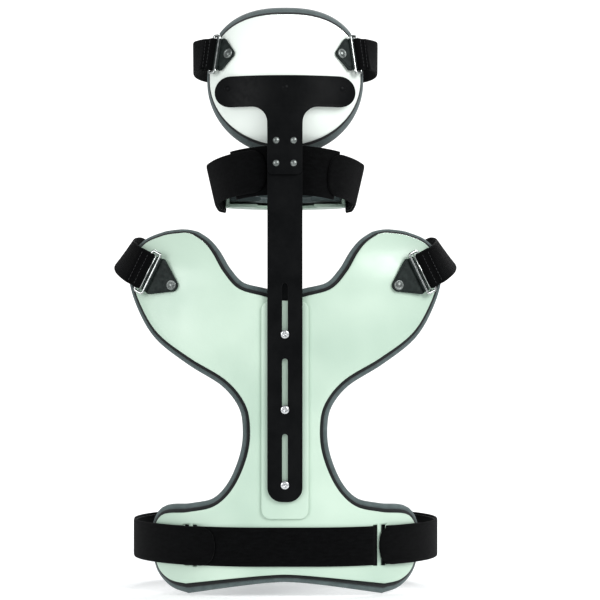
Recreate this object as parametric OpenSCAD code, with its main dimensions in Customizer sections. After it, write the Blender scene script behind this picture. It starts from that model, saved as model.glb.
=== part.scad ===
// Head, neck and back brace: a rear shell with a sliding upright that carries a
// head plate, and a front shell with a sliding upright that carries a chin cup.
// Millimetres. +Z is up, -Y is the wearer's back, and the origin is on the
// torso's vertical axis at the middle of the waist strap.

/* [Back plate] */
// Half depth of the torso behind its axis, to the outer face of the back plate
back_depth = 118; // [112:1:126]
// Half width of the torso at the waist
waist_half = 150; // [146:1:160]
// Half width of the torso's section at the shoulders
shoulder_half = 200; // [190:1:215]
// Thickness of the moulded shells
shell_t = 3.5; // [2.5:0.5:4]
// Thickness of the foam liners
foam_t = 8; // [6:1:10]
// How far the foam shows past the shell's edge
foam_lip = 8; // [5:1:10]

/* [Uprights] */
// Width of the flat bars
bar_w = 34; // [30:1:36]
// Thickness of the flat bars
bar_t = 3.4; // [3:0.2:3.4]
// Width of the height slots
slot_w = 5.6; // [5.4:0.1:6]
// Length of a height slot, end to end
slot_l = 53; // [50:1:54]
// Distance from one height slot to the next
slot_pitch = 73; // [70:1:75]

/* [Head and chin] */
// Radius of the head plate's outer face
head_r = 100; // [98:1:104]
// Half width of the head plate
head_half = 74; // [70:1:76]
// Height of the head plate
head_h = 128; // [120:1:132]
// Outer radius of the chin cup
chin_r = 62; // [60:1:64]

/* [Straps] */
// Width of the waist and shoulder webbing
strap_w = 38; // [36:1:40]
// Thickness of the webbing
strap_t = 2.4; // [2:0.2:2.6]
// Width of the neck strap
neck_w = 48; // [44:1:50]
// Width of the forehead strap
brow_w = 33; // [30:1:34]

/* [Hidden] */
$fn = 48;

plastic = [0.80, 0.90, 0.84];
foam = [0.25, 0.31, 0.31];
black = [0.03, 0.03, 0.035];
steel = [0.75, 0.76, 0.77];

flat_half = 24;                        // half width of the flat spine of both shells
section_b = 110;                       // depth of the section's curve behind the axis
front_b = 105;                         // and in front of it
front_depth = 98;                      // outer face of the chest plate on the midline
curl_z = 250;                          // above this the shoulder lobes curl forward
curl_k = 0.006;
strip_t = 2.5;                         // the flat strips that the bars slide on
gap = 0.15;                            // running clearance of what slides
bar_y = -back_depth - strip_t - gap;   // inner face of the rear bar
front_bar_y = front_depth + strip_t + gap;
bar_bottom = 44;
bar_top = 402;
slot_z = 83.5;                         // middle of the lowest height slot
stem_bottom = 361;
crossbar_z = 442;
crossbar_h = 30;
crossbar_half = 67;
head_z = 455;
head_y = bar_y - bar_t - gap + head_r; // the stem lies on the bar, the crossbar on the head plate
stem_y = bar_y - bar_t - gap;          // face that the bar and the stem share
front_slot_z = 62;
screw_drop = slot_l / 2 - slot_w / 2 - 0.6;      // the screws sit low in their slots
rear_screws_z = [for (k = [0 : 2]) slot_z + k * slot_pitch - screw_drop];
front_screws_z = [for (k = [0 : 1]) front_slot_z + k * slot_pitch - screw_drop];
hole_r = 2.6;                          // clearance hole of the height screws
liner_gap = 1.4;                       // glue layer between shell and liner
belt_slot = [86, 94];                  // inner edges of the belt slots, on each side
belt_slot_w = 4;
chin_z = 334;                          // underside of the chin cup
chin_y = 10;
front_bar_top = chin_z - gap;
shoulder_rivet = [110, 254];
shoulder_lean = 27;
head_rivet = [54, 479];
head_lean = 0;
head_lip = 9;                          // the head liner shows more, at the top and bottom
ring_rod = 1.5;
shoulder_reach = 23.2;                   // from the rivet to the ring's inner rod
head_reach = 12.5;
ring_gap = 6.5;                        // from a temple ring's inner rod to its outer one
shoulder_gap = 9.3;                    // the same for a shoulder ring
shoulder_bar = 4.4;                    // and to its thin middle bar
loop_l = 8;                            // sewn end of the strap behind the ring
tab_apex = 6.6;                        // the tab's radius round its rivet
rod_up = 3.8;                          // height of the rods over the shell

// ---------- small functions ----------
function ease(t) = let (c = min(1, max(0, t))) c * c * (3 - 2 * c);
function unit(v) = v / norm(v);
function spline_at(p, s) =
    let (n = len(p) - 1, i = min(n - 1, floor(s)), t = s - i,
         a = p[max(0, i - 1)], b = p[i], c = p[i + 1], d = p[min(n, i + 2)])
    b + 0.5 * t * ((c - a) + t * ((2 * a - 5 * b + 4 * c - d) + t * (3 * (b - c) + d - a)));
function spline(p, per) = [for (k = [0 : per * (len(p) - 1)]) spline_at(p, k / per)];
function flip(p) = [for (q = p) [-q[0], q[1], q[2]]];

// ---------- the two body surfaces ----------
function half_width(z) = waist_half + (shoulder_half - waist_half) * ease(z / 220);
function bend(x, z) =
    let (e = min(0.985, max(0, abs(x) - flat_half) / (half_width(z) - flat_half))) 1 - sqrt(1 - e * e);
back_face = function (x, z)
    -back_depth + section_b * bend(x, z) + curl_k * pow(max(0, z - curl_z), 2);
chest_face = function (x, z) front_depth - front_b * bend(x, z);
// Unit normal of a surface y = f(x, z), on the side that s gives (+1 is +Y).
function normal(f, x, z, s) = s * unit([f(x - 0.5, z) - f(x + 0.5, z), 1, f(x, z - 0.5) - f(x, z + 0.5)]);
function on_face(f, x, z, s, depth) = [x, f(x, z), z] + depth * normal(f, x, z, s);

// Outlines of the right-hand half of each shell as [x, z]: where each row starts and where it ends.
back_inner = [[0, -27], [0, -24], [0, -16], [0, 2], [0, 22], [0, 33], [0, 45], [0, 62], [0, 88], [0, 113],
    [0, 137], [0, 158], [0, 180], [0, 205], [0, 227], [14, 241], [44, 250], [60, 267], [71, 286], [80, 297],
    [91, 304.5]];
back_outer = [[98, -38], [115, -35], [127, -23], [132, 4], [123, 27], [96, 32], [69, 39], [50, 58], [37, 88],
    [34, 115], [39, 139], [58, 162], [93, 183], [125, 207], [143, 236], [151, 262], [149, 282], [138, 296],
    [122, 303], [113, 305], [103, 306]];
chest_inner = [[0, -26], [0, -22], [0, -13], [0, 0], [0, 16], [0, 30], [0, 46], [0, 70], [0, 98], [0, 122],
    [0, 142], [0, 160], [12, 172], [28, 182], [37, 194], [42, 205], [51, 214.5]];
chest_outer = [[50, -32], [66, -30], [77, -17], [80, 2], [73, 24], [54, 32], [38, 44], [30, 70], [29, 100],
    [36, 128], [54, 151], [76, 170], [87, 190], [86, 203], [79, 213], [69, 218], [59, 218]];

// Points of one row of a shell's right-hand half; lip grows the outline.
cap_rise = 1.1;                        // the crown of a lobe's last row
function outward(p, s, side) =
    let (ahead = spline_at(p, min(len(p) - 1, s + 0.05)), behind = spline_at(p, max(0, s - 0.05)),
         t = unit(ahead - behind))
    side * [t[1], -t[0]];
function row(inner, outer, s, cols, lip) =
    let (a = spline_at(inner, s), b = spline_at(outer, s),
         na = outward(inner, s, -1), nb = outward(outer, s, 1),
         last = len(inner) - 1, free = max(0, min(1, a[0] / 10)),
         low = lip * (1 - min(1, s / 1.5)), rise = cap_rise * pow(max(0, s - last + 1), 2),
         p = [a[0] + lip * free * na[0], a[1] + lip * free * na[1] - low],
         q = b + lip * nb - [0, low * 0.3])
    [for (j = [0 : cols]) let (u = j / cols)
        [p[0] + (q[0] - p[0]) * u, p[1] + (q[1] - p[1]) * pow(u, 1.5) + rise * sin(180 * u)]];
function on_midline(inner) = len([for (p = inner) if (p[0] == 0) p]) - 1;

// A shell between two depths under a surface, from an outline's two halves, which part above the midline.
module shell(f, s, inner, outer, d0, d1, lip, cols) {
    rows = 2 * (len(inner) - 1);
    fork = 2 * on_midline(inner);
    n = cols + 1;
    m = (rows + 1) * n;
    half = [for (i = [0 : rows]) let (r = row(inner, outer, i / 2, cols, lip))
        each [for (j = [0 : cols]) [j > 0 ? r[j][0] : i <= fork ? 0 : max(0.4, r[0][0]), r[j][1]]]];
    pts = [for (side = [1, -1], d = [d0, d1], p = half) on_face(f, side * p[0], p[1], s, d)];
    function quad(a, b, c, d, turn) = turn > 0 ? [[c, b, a], [d, c, a]] : [[b, c, a], [c, d, a]];
    faces = [for (h = [0, 1]) let (o = 2 * m * h, e = s * (1 - 2 * h)) each concat(
        [for (i = [0 : rows - 1], j = [0 : cols - 1]) let (a = o + i * n + j)
            each concat(quad(a, a + 1, a + n + 1, a + n, e),
                quad(m + a, m + a + n, m + a + n + 1, m + a + 1, e))],
        [for (i = [0 : rows - 1]) let (b = o + i * n + cols) each quad(b, m + b, m + b + n, b + n, e)],
        [for (i = [fork : rows - 1]) let (a = o + i * n) each quad(a, a + n, m + a + n, m + a, e)],
        [for (j = [0 : cols - 1]) let (a = o + j, b = o + rows * n + j)
            each concat(quad(a, m + a, m + a + 1, a + 1, e), quad(b, b + 1, m + b + 1, m + b, e))])];
    polyhedron(pts, faces);
}
module both_halves() {
    children();
    mirror([1, 0, 0]) children();
}

// ---------- webbing ----------
// A flat strap along pts; across gives the direction of its width at each point.
module ribbon(pts, across, w, t) {
    last = len(pts) - 1;
    corner = [for (i = [0 : last])
        let (tan = unit(pts[min(last, i + 1)] - pts[max(0, i - 1)]), nor = unit(cross(tan, across[i])),
             wid = cross(nor, tan))
        each [for (c = [[-1, -1], [1, -1], [1, 1], [-1, 1]])
            pts[i] + c[0] * wid * w / 2 + c[1] * nor * t / 2]];
    sides = [for (i = [0 : last - 1], k = [0 : 3])
        let (a = 4 * i + k, b = 4 * i + (k + 1) % 4) each [[a, b + 4, b], [a, a + 4, b + 4]]];
    polyhedron(corner, concat(sides, [[0, 1, 2], [0, 2, 3]],
        [[4 * last + 2, 4 * last + 1, 4 * last], [4 * last + 3, 4 * last + 2, 4 * last]]));
}
module strap(pts, across, w, per = 3) ribbon(spline(pts, per), spline(across, per), w, strap_t);

// The torso's section at the waist, t degrees round from the spine, at a distance outside it.
function waist_point(t, off) =
    let (s = sin(t), c = cos(t), x = flat_half + (waist_half - flat_half + off) * s)
    t <= 90 ? [x, -(back_depth - section_b) - (section_b + off) * c, 0]
            : [x, front_depth - front_b - (front_b + off) * c, 0];
// The neck's section: the strap falls from the nape towards the chin.
function neck_point(t, off) = [(73 + off) * sin(t), -28 - (88 + off) * cos(t), 366 - 16 * (1 - cos(t))];
neck_front = [[72.5, -30, 351], [69, -10, 350], [63.8, 10, 350], [62.2, 24, 350]];
// The neck widens upwards at its sides, so the strap leans out there.
function neck_across(t) = [0.24 * pow(sin(t), 3), 0, 1];
neck_front_across = [[0.24, 0, 1], [0.12, 0, 1], [0, 0, 1], [0, 0, 1]];
brow_route = [[83, -83.5, 480], [89.5, -67, 480], [91, -42, 480], [89.5, -12, 480], [84, 18, 480],
    [72, 45, 480], [52, 66, 480], [27, 77, 480], [0, 80, 480]];
shoulder_route = [[148.6, -94.2, 274.5], [155, -83, 279], [159, -66, 283], [160, -44, 287], [157, -14, 289],
    [149, 16, 284], [137, 44, 272], [121, 69, 251], [103, 88, 225], [86, 96.6, 203], [68, 99.4, 181]];
shoulder_across = [[0.45, 0.11, -0.89], [0.45, 0.08, -0.89], [0.5, 0, -0.86], [0.6, 0, -0.8], [0.7, 0, -0.7],
    [0.78, 0, -0.6], [0.78, 0, -0.6], [0.78, 0, -0.6], [0.78, 0, -0.6], [0.77, 0, -0.63], [0.77, 0, -0.63]];

// ---------- fasteners ----------
module rivet(r, h, shank, length) {
    intersection() {
        translate([0, 0, h - (r * r + h * h) / (2 * h)]) sphere(r = (r * r + h * h) / (2 * h));
        cylinder(r = r + 1, h = h + 1);
    }
    translate([0, 0, -length]) cylinder(r = shank, h = length + 0.2);
}
module tee_nut() difference() {
    cylinder(r = 7, h = 1.1);
    translate([0, 0, -1]) cylinder(r = 2.55, h = 4);
}
module height_screw() rivet(4.4, 2.2, 2.5, bar_t + 2 * gap + strip_t + shell_t + 1.1);
// Children stand on the outer face of a surface, +X along the lean and +Z outwards.
module stand(f, s, at, lean) {
    n = normal(f, at[0], at[1], s);
    u = unit(cross([0, 0, 1], n) * cos(lean) + unit(cross(n, cross([0, 0, 1], n))) * sin(lean));
    w = cross(n, u);
    p = [at[0], f(at[0], at[1]), at[1]];
    multmatrix([[u[0], w[0], n[0], p[0]], [u[1], w[1], n[1], p[1]], [u[2], w[2], n[2], p[2]], [0, 0, 0, 1]])
        children();
}
head_face = function (x, z) head_y - sqrt(head_r * head_r - x * x - (z - head_z) * (z - head_z));
module at_side(side) {
    if (side < 0) mirror([1, 0, 0]) children(); else children();
}
module at_shoulder(side) at_side(side) stand(back_face, -1, shoulder_rivet, shoulder_lean) children();
module at_temple(side) at_side(side) stand(head_face, -1, head_rivet, head_lean) children();

// ---------- the pivoting tab, its ring and the strap's end ----------
module rod(x, w, r) translate([x, w / 2, rod_up]) rotate([90, 0, 0]) cylinder(r = r, h = w);
module tab(w, reach) {
    color(black) difference() {
        union() {
            translate([0, 0, 0.4]) linear_extrude(2.6) hull() {
                circle(r = tab_apex);
                for (y = [-1, 1]) translate([reach - 8, y * (w / 2 - 4)]) circle(r = 4);
            }
            translate([reach - 8, -w / 2 + 1, 0.4]) cube([7.5, w - 2, 2.6]);
            rod(reach, w - 2, 3.2);
        }
        translate([0, 0, -1]) cylinder(r = 2.55, h = 6);
        rod(reach, w + 2, ring_rod + 0.25);
        translate([reach - ring_rod, -w / 2 - 1, rod_up]) cube([2 * ring_rod, w + 2, 5]);
    }
}
module ring(w, reach, gap, bar) {
    color(steel) {
        for (x = [reach, reach + gap]) rod(x, w + 5, ring_rod);
        if (bar > 0) rod(reach + bar, w + 5, 0.85);
        for (y = [-1, 1]) translate([reach, y * (w / 2 + 2.5), rod_up]) {
            rotate([0, 90, 0]) cylinder(r = ring_rod, h = gap);
            for (x = [0, gap]) translate([x, 0, 0]) sphere(r = ring_rod);
        }
    }
}
module strap_loop(w, x) {
    color(black) difference() {
        union() {
            rod(x, w, ring_rod + 1.5);
            translate([x, -w / 2, rod_up - 2.2]) cube([loop_l, w, 4.4]);
        }
        rod(x, w + 2, ring_rod + 0.25);
    }
}

// ---------- rear shell ----------
module slot(z, w, l, y) {
    for (e = [-1, 1]) translate([0, y, z + e * (l - w) / 2]) rotate([90, 0, 0])
        cylinder(r = w / 2, h = 12, center = true);
    translate([-w / 2, y - 6, z - (l - w) / 2]) cube([w, 12, l - w]);
}
module belt_slots() {
    both_halves() for (x = belt_slot) translate([x, -back_depth - 10, -strap_w / 2 - 1])
        cube([belt_slot_w, 60, strap_w + 2]);
}
module bolt_holes(heights, y) for (z = heights) translate([0, y, z]) rotate([90, 0, 0])
    cylinder(r = hole_r, h = 20, center = true);
module back_plate() {
    color(plastic) difference() {
        shell(back_face, -1, back_inner, back_outer, 0, -shell_t, 0, 8);
        belt_slots();
        bolt_holes(rear_screws_z, -back_depth);
    }
}
module back_liner() {
    color(foam) difference() {
        shell(back_face, -1, back_inner, back_outer, -shell_t - liner_gap, -shell_t - liner_gap - foam_t,
            foam_lip, 8);
        both_halves() translate([belt_slot[0] - 4, -back_depth, -22]) cube([20, back_depth - 79, 44]);
    }
}
module spine_strip() {
    color(plastic) translate([0, -back_depth, 0]) rotate([90, 0, 0]) difference() {
        linear_extrude(strip_t) hull() for (x = [-1, 1], z = [34, 232]) translate([x * 16, z]) circle(r = 7);
        for (z = rear_screws_z) translate([0, z, -1]) cylinder(r = hole_r, h = 6);
    }
}
module rear_screws() {
    color(steel) for (z = rear_screws_z) translate([0, stem_y, z]) rotate([90, 0, 0]) height_screw();
}
module rear_tee_nuts() {
    color(steel) for (z = rear_screws_z) translate([0, -back_depth + shell_t + 0.1, z]) rotate([-90, 0, 0])
        tee_nut();
}
module flat_ribbon(path, w, t) ribbon(path, [for (p = path) [0, 0, 1]], w, t);
module waist_loop_band() {
    color(black) {
        flat_ribbon([for (x = [-85 : 10 : 85]) [x, back_face(x, 0) - 1.6, 0]], strap_w, 1.9);
        both_halves() {
            flat_ribbon([for (t = [37.5 : 4 : 57.5]) waist_point(t, 1.9)], strap_w, 1.9);
            inside = [belt_slot[0] - 0.5 : 2.5 : belt_slot[0] + 12];
            flat_ribbon([for (x = inside) [x, back_face(x, 0) + 6, 0]], strap_w, 1.4);
        }
    }
}
// The strap's tab end starts over the loop band on one side, and over the belt slots on the other.
waist_start = [20, 31.5];
module waist_strap(side) {
    start = side < 0 ? waist_start[0] : waist_start[1];
    turns = concat([start], [for (t = [25 : 5 : 155]) if (t > start + 2) t]);
    color(black) at_side(side)
        flat_ribbon([for (t = turns) waist_point(t, 4.3 - 1.4 * ease((t - 60) / 30))], strap_w, strap_t);
}
module waist_anchor_rivets() {
    color(steel) both_halves() for (z = [-11, 11])
        stand(chest_face, 1, [72, z], 0) translate([0, 0, 4.4]) rivet(4, 1.6, 2, 6.5);
}

// ---------- shoulder straps ----------
module shoulder_strap(side) color(black) at_side(side) strap(shoulder_route, shoulder_across, strap_w);
module shoulder_anchor_rivets() {
    color(steel) both_halves() stand(chest_face, 1, [75, 190], 0) translate([0, 0, 5.9]) rivet(5, 2, 2, 8);
}
module tab_rivet() translate([0, 0, 3.1]) rivet(5, 2, 2.5, 6);
module shoulder_tab_rivets() color(steel) for (s = [-1, 1]) at_shoulder(s) tab_rivet();

// ---------- front shell ----------
module chest_plate() {
    color(plastic) difference() {
        shell(chest_face, 1, chest_inner, chest_outer, 0, -shell_t, 0, 6);
        bolt_holes(front_screws_z, front_depth);
    }
}
module chest_liner() {
    color(foam) shell(chest_face, 1, chest_inner, chest_outer, -shell_t - liner_gap,
        -shell_t - liner_gap - foam_t, 6, 6);
}
module chest_strip() {
    color(plastic) translate([0, front_depth, 0]) rotate([90, 0, 0]) mirror([0, 0, 1]) difference() {
        linear_extrude(strip_t) hull() for (x = [-1, 1], z = [6, 148]) translate([x * 14, z]) circle(r = 7);
        for (z = front_screws_z) translate([0, z, -1]) cylinder(r = hole_r, h = 6);
    }
}
module front_screws() {
    color(steel) for (z = front_screws_z) translate([0, front_bar_y + bar_t + gap, z]) rotate([-90, 0, 0])
        height_screw();
}
module front_tee_nuts() {
    color(steel) for (z = front_screws_z) translate([0, front_depth - shell_t - 0.1, z]) rotate([90, 0, 0])
        tee_nut();
}

// ---------- head section ----------
module flat_bar(z0, z1, w) {
    translate([-w / 2, 0, z0 + 14]) cube([w, bar_t, z1 - z0 - 28]);
    for (x = [-1, 1], z = [z0 + 14, z1 - 14]) translate([x * (w / 2 - 14), bar_t, z])
        rotate([90, 0, 0]) cylinder(r = 14, h = bar_t);
    for (z = [z0, z1 - 14]) translate([-w / 2 + 14, 0, z]) cube([w - 28, bar_t, 14]);
}
rivet_spots = [[-8.5, 394], [8.5, 394], [-8.5, 372], [8.5, 372]];
module stem_holes() for (p = rivet_spots) translate([p[0], bar_y, p[1]]) rotate([90, 0, 0])
    cylinder(r = 2, h = 20, center = true);
module rear_upright() {
    color(black) difference() {
        translate([0, bar_y - bar_t, 0]) flat_bar(bar_bottom, bar_top, bar_w);
        for (k = [0 : 2]) slot(slot_z + k * slot_pitch, slot_w, slot_l, bar_y);
        stem_holes();
    }
}
module t_bracket() {
    fillet = 15;
    color(black) difference() {
        union() {
            intersection() {
                translate([0, head_y, crossbar_z - 60]) difference() {
                    cylinder(r = head_r + 3.2, h = 120, $fn = 96);
                    translate([0, 0, -1]) cylinder(r = head_r + 0.1, h = 122, $fn = 96);
                }
                translate([0, head_y, 0]) rotate([90, 0, 0]) linear_extrude(head_r + 10) union() {
                    translate([-crossbar_half + 15, crossbar_z - 15])
                        square([2 * crossbar_half - 30, crossbar_h]);
                    for (x = [-1, 1]) translate([x * (crossbar_half - 15), crossbar_z]) circle(r = 15);
                    translate([0, crossbar_z - 15 - fillet]) difference() {
                        translate([-bar_w / 2 - fillet, 0]) square([bar_w + 2 * fillet, fillet + 1]);
                        for (x = [-1, 1]) translate([x * (bar_w / 2 + fillet), 0]) circle(r = fillet);
                    }
                }
            }
            translate([-bar_w / 2, stem_y - 3.2, stem_bottom + 6])
                cube([bar_w, 3.2, crossbar_z - stem_bottom]);
            translate([-bar_w / 2 + 6, stem_y - 3.2, stem_bottom]) cube([bar_w - 12, 3.2, 8]);
            for (x = [-1, 1]) translate([x * (bar_w / 2 - 6), stem_y, stem_bottom + 6]) rotate([90, 0, 0])
                cylinder(r = 6, h = 3.2);
        }
        stem_holes();
        crossbar_spots() translate([0, 0, -12]) cylinder(r = 2, h = 24);
    }
}
module crossbar_spots() for (a = [-33, 0, 33]) translate([0, head_y, crossbar_z + 3]) rotate([0, 0, a])
    translate([0, -head_r - 3.2, 0]) rotate([90, 0, 0]) children();
module stem_rivets() {
    color(steel) for (p = rivet_spots) translate([p[0], stem_y - 3.2, p[1]]) rotate([90, 0, 0])
        rivet(3.2, 1.4, 2, 3.2 + bar_t + gap);
}
module crossbar_rivets() color(black) crossbar_spots() rivet(3.4, 1.3, 2, 7.2);
// The head plate's outline: an ellipse below, squarer above.
function head_outline(grow) = [for (k = [0 : 71])
    let (a = k * 5, c = cos(a), s = sin(a), e = s > 0 ? 2 / 2.6 : 1)
    [(head_half + grow * 0.35) * sign(c) * pow(abs(c), e),
        head_z + (head_h / 2 + grow) * sign(s) * pow(abs(s), e)]];
module head_shell(r0, r1, grow) {
    intersection() {
        translate([0, head_y, head_z]) difference() {
            sphere(r = r0, $fn = 96);
            sphere(r = r1, $fn = 96);
        }
        translate([0, head_y - 20, 0]) rotate([90, 0, 0]) linear_extrude(head_r) polygon(head_outline(grow));
    }
}
module head_plate() {
    color(plastic) difference() {
        head_shell(head_r, head_r - shell_t, 0);
        crossbar_spots() translate([0, 0, -12]) cylinder(r = 2, h = 24);
    }
}
module head_liner() color(foam) head_shell(head_r - shell_t - 1.2, head_r - shell_t - 1.2 - foam_t, head_lip);
module head_tab_rivets() color(steel) for (s = [-1, 1]) at_temple(s) tab_rivet();
brow_loop = concat(brow_route, [for (k = [7 : -1 : 0]) flip(brow_route)[k]]);
module forehead_strap() color(black) flat_ribbon(spline(brow_loop, 2), brow_w, strap_t);
// The pad lies inside the strap's front.
pad_t = 6;
module forehead_pad() {
    front = spline([for (k = [5 : 11]) brow_loop[k]], 4);
    n = len(front) - 1;
    inner = [for (i = [0 : n]) let (along = unit(front[min(n, i + 1)] - front[max(0, i - 1)]))
        front[i] + (strap_t / 2 + pad_t / 2 + 0.5) * cross([0, 0, -1], along) * -1];
    color(foam) flat_ribbon(inner, brow_w + 8, pad_t);
}
module neck_loop_band() {
    turns = [-44 : 8 : 44];
    color(black) ribbon([for (t = turns) neck_point(t, 0)], [for (t = turns) neck_across(t)], neck_w, 2);
}

// ---------- chin section ----------
module front_upright() {
    color(black) difference() {
        union() {
            translate([0, front_bar_y, 0]) flat_bar(26, 306, bar_w);
            translate([-bar_w / 2, front_bar_y, 280]) cube([bar_w, bar_t, front_bar_top - 280]);
            translate([-bar_w / 2, 44, front_bar_top - bar_t]) cube([bar_w, front_bar_y + bar_t - 44, bar_t]);
        }
        for (k = [0 : 1]) slot(front_slot_z + k * slot_pitch, slot_w, slot_l, front_bar_y);
        for (x = [-8.5, 8.5]) translate([x, 56, front_bar_top - 10]) cylinder(r = 2, h = 20);
    }
}
module chin_ring(r0, r1, z0, z1) {
    translate([0, chin_y, z0]) difference() {
        cylinder(r = r0, h = z1 - z0, $fn = 96);
        translate([0, 0, -1]) cylinder(r = r1, h = z1 - z0 + 2, $fn = 96);
        translate([-100, -100 - 14, -1]) cube([200, 100, z1 - z0 + 2]);
    }
}
// The cup's rim is highest at the jaw's sides and dips in the middle.
module chin_trim(r0, r1, top) {
    difference() {
        chin_ring(r0, r1, chin_z, chin_z + 50);
        translate([0, 0, chin_z + top + 62]) rotate([-90, 0, 0]) cylinder(r = 62, h = 120, $fn = 96);
        translate([0, -60, chin_z + top + 70]) rotate([90, 0, 90])
            cylinder(r = 72, h = 200, center = true, $fn = 96);
    }
}
module chin_cup() {
    color(plastic) difference() {
        union() {
            chin_trim(chin_r, chin_r - shell_t, 26);
            chin_ring(chin_r - 1, chin_r - 30, chin_z, chin_z + shell_t);
        }
        for (x = [-8.5, 8.5]) translate([x, 56, chin_z - 10]) cylinder(r = 2, h = 20);
        neck_anchor(2.1);
    }
}
module chin_liner() {
    color(foam) difference() {
        union() {
            chin_trim(chin_r - shell_t - 0.4, chin_r - shell_t - 6.4, 29);
            chin_ring(chin_r - shell_t - 5, chin_r - 33, chin_z + shell_t + 2.4, chin_z + shell_t + 8);
        }
        translate([-100, -20, chin_z - 1]) cube([200, 120, shell_t + 3.4]);
        neck_anchor(5);
    }
}
module chin_rivets() {
    color(steel) for (x = [-8.5, 8.5]) translate([x, 56, chin_z + shell_t])
        rivet(3.2, 1.4, 2, shell_t + bar_t + gap);
}
module neck_anchor(r) both_halves() translate([45, chin_y, chin_z + 16]) rotate([0, 90, 0])
    cylinder(r = r, h = 30);
neck_start = [14, 34];                 // where each tab end lies on the loop band, in degrees
module neck_strap(side) {
    start = side < 0 ? neck_start[0] : neck_start[1];
    turns = concat([start], [for (t = [20 : 8 : 76]) if (t > start + 2) t]);
    color(black) at_side(side) difference() {
        ribbon(concat([for (t = turns) neck_point(t, 2.7)], neck_front),
            concat([for (t = turns) neck_across(t)], neck_front_across), neck_w - 6, strap_t);
        neck_anchor(2.1);
    }
}
module neck_anchor_rivets() {
    color(steel) both_halves() translate([chin_r + 4.2, chin_y, chin_z + 16]) rotate([0, 90, 0])
        rivet(4.5, 1.8, 2, 7.6);
}

back_plate();
back_liner();
spine_strip();
rear_screws();
rear_tee_nuts();
waist_loop_band();
waist_strap(-1);  // waist_strap_left
waist_strap(1);  // waist_strap_right
waist_anchor_rivets();
shoulder_strap(-1);  // shoulder_strap_left
shoulder_strap(1);  // shoulder_strap_right
shoulder_anchor_rivets();
shoulder_tab_rivets();
chest_plate();
chest_liner();
chest_strip();
front_screws();
front_tee_nuts();
at_shoulder(-1) tab(strap_w, shoulder_reach);  // shoulder_tab_left
at_shoulder(-1) ring(strap_w, shoulder_reach, shoulder_gap, shoulder_bar);  // shoulder_ring_left
at_shoulder(-1) strap_loop(strap_w, shoulder_reach + shoulder_gap);  // shoulder_loop_left
at_shoulder(1) tab(strap_w, shoulder_reach);  // shoulder_tab_right
at_shoulder(1) ring(strap_w, shoulder_reach, shoulder_gap, shoulder_bar);  // shoulder_ring_right
at_shoulder(1) strap_loop(strap_w, shoulder_reach + shoulder_gap);  // shoulder_loop_right
rear_upright();
t_bracket();
stem_rivets();
crossbar_rivets();
head_plate();
head_liner();
head_tab_rivets();
forehead_strap();
forehead_pad();
neck_loop_band();
at_temple(-1) tab(brow_w, head_reach);  // head_tab_left
at_temple(-1) ring(brow_w, head_reach, ring_gap, 0);  // head_ring_left
at_temple(-1) strap_loop(brow_w, head_reach + ring_gap);  // head_loop_left
at_temple(1) tab(brow_w, head_reach);  // head_tab_right
at_temple(1) ring(brow_w, head_reach, ring_gap, 0);  // head_ring_right
at_temple(1) strap_loop(brow_w, head_reach + ring_gap);  // head_loop_right
front_upright();
chin_cup();
chin_liner();
chin_rivets();
neck_strap(-1);  // neck_strap_left
neck_strap(1);  // neck_strap_right
neck_anchor_rivets();
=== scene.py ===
"""Head, neck and back brace: shells, liners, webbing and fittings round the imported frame.

Sizes are millimetres here, as in the part's source, and become metres where a mesh is made.
"""
import math

import bmesh
import bpy
from mathutils import Matrix, Vector


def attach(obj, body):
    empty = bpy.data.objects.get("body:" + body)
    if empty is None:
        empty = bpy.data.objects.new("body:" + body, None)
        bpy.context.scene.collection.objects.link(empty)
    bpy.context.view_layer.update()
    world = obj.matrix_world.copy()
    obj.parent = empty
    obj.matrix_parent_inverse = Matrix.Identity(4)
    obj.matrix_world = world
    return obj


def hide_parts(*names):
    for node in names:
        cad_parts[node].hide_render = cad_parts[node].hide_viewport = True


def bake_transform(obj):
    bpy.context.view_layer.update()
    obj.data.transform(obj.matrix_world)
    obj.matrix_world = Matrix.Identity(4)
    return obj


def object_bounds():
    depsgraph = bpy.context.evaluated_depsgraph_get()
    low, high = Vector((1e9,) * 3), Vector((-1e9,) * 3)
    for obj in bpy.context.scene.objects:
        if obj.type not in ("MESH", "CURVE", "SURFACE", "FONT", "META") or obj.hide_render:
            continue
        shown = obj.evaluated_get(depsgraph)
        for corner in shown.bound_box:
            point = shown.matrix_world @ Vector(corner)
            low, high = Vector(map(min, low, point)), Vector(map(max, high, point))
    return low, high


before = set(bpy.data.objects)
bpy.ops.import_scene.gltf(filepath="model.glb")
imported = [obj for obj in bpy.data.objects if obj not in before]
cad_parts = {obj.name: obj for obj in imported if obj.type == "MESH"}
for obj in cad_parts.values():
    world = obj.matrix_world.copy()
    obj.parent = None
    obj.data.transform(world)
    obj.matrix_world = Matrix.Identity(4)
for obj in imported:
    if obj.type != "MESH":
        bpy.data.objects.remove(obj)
cad_low, cad_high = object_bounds()

MM = 0.001
TORSO, HEAD, CHIN = "torso_section", "head_section", "chin_section"
SIDES = {"left": -1, "right": 1}

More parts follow.
